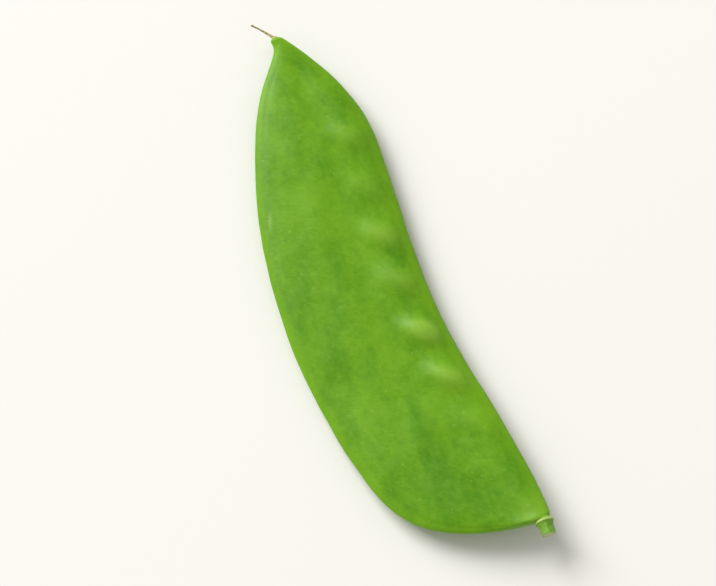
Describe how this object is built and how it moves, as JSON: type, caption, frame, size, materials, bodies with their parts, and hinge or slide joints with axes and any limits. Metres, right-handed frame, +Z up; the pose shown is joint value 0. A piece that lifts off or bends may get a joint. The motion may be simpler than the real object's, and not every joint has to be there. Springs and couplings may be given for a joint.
{
  "type": "snow pea pod",
  "caption": "Flat green edible pea pod with a row of seeds showing through, a trimmed stem stub and a dry style.",
  "frame": {"origin": "on the surface the pod lies on, below the middle of its box", "axes": "+X along the pod from the blossom end to the stem end, +Y across it from the belly edge to the back edge, +Z up"},
  "size_m": [0.1, 0.0272, 0.0069],
  "materials": {
    "pod_skin": "satin, waxy, finely veined",
    "stem": "matte, faintly ribbed, with a pale cut end",
    "dry_style": "dry and papery"
  },
  "bodies": {
    "root": {"pod": "pod_skin", "stem_stub": "stem", "style_thread": "dry_style"}
  },
  "joints": []
}
